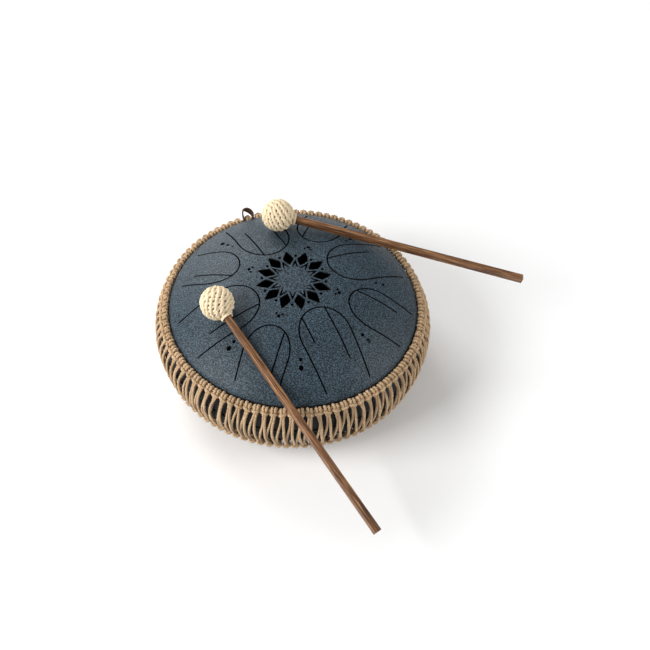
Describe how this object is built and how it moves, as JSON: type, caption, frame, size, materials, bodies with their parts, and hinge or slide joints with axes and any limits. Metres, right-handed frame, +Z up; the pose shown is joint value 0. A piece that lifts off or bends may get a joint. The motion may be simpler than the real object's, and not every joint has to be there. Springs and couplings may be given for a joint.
{
  "type": "steel tongue drum with mallets",
  "caption": "Blue domed steel tongue drum with a lotus cut-out, a knotted jute net round its flank, a leather loop and crochet-headed mallets resting on it.",
  "frame": {"origin": "on the drum's axis, in the plane the rubber feet stand on", "axes": "+Z up along the drum's axis, +X to the player's right, +Y away from the player"},
  "size_m": [0.3639, 0.3653, 0.1484],
  "materials": {
    "blue_coat": "satin textured powder coat",
    "black_coat": "satin powder coat",
    "black_rubber": "matt",
    "jute": "twisted natural fibre",
    "leather": "dark brown, semi-matt",
    "dark_wood": "oiled dark hardwood",
    "cream_yarn": "matt cotton yarn"
  },
  "bodies": {
    "drum": {"upper_shell": "blue_coat", "lower_shell": "black_coat", "seam_weld": "black_coat", "foot_right_rear": "black_rubber", "foot_left_rear": "black_rubber", "foot_left_front": "black_rubber", "foot_right_front": "black_rubber", "carrier_cord": "jute", "upper_knots": "jute", "net_strands": "jute", "lower_knots": "jute", "net_underside": "jute", "draw_cord": "jute"},
    "leather_loop": {"leather_loop": "leather"},
    "mallet_left": {"mallet_left_stick": "dark_wood", "mallet_left_core": "black_rubber", "mallet_left_crochet_cover": "cream_yarn", "mallet_left_neck_yarn": "cream_yarn"},
    "mallet_right": {"mallet_right_stick": "dark_wood", "mallet_right_core": "black_rubber", "mallet_right_crochet_cover": "cream_yarn", "mallet_right_neck_yarn": "cream_yarn"}
  },
  "joints": [
    {"name": "mallet_left_lift", "type": "slide", "parent": "drum", "child": "mallet_left", "axis": [0, 0, 1], "range_m": [0, 0.2]},
    {"name": "mallet_right_lift", "type": "slide", "parent": "drum", "child": "mallet_right", "axis": [0, 0, 1], "range_m": [0, 0.2]},
    {"name": "leather_loop_swing", "type": "hinge", "parent": "drum", "child": "leather_loop", "pos_m": [-0.05249, 0.11256, 0.0836], "axis": [-0.9063, -0.4226, 0], "range_deg": [-45, 40]}
  ]
}
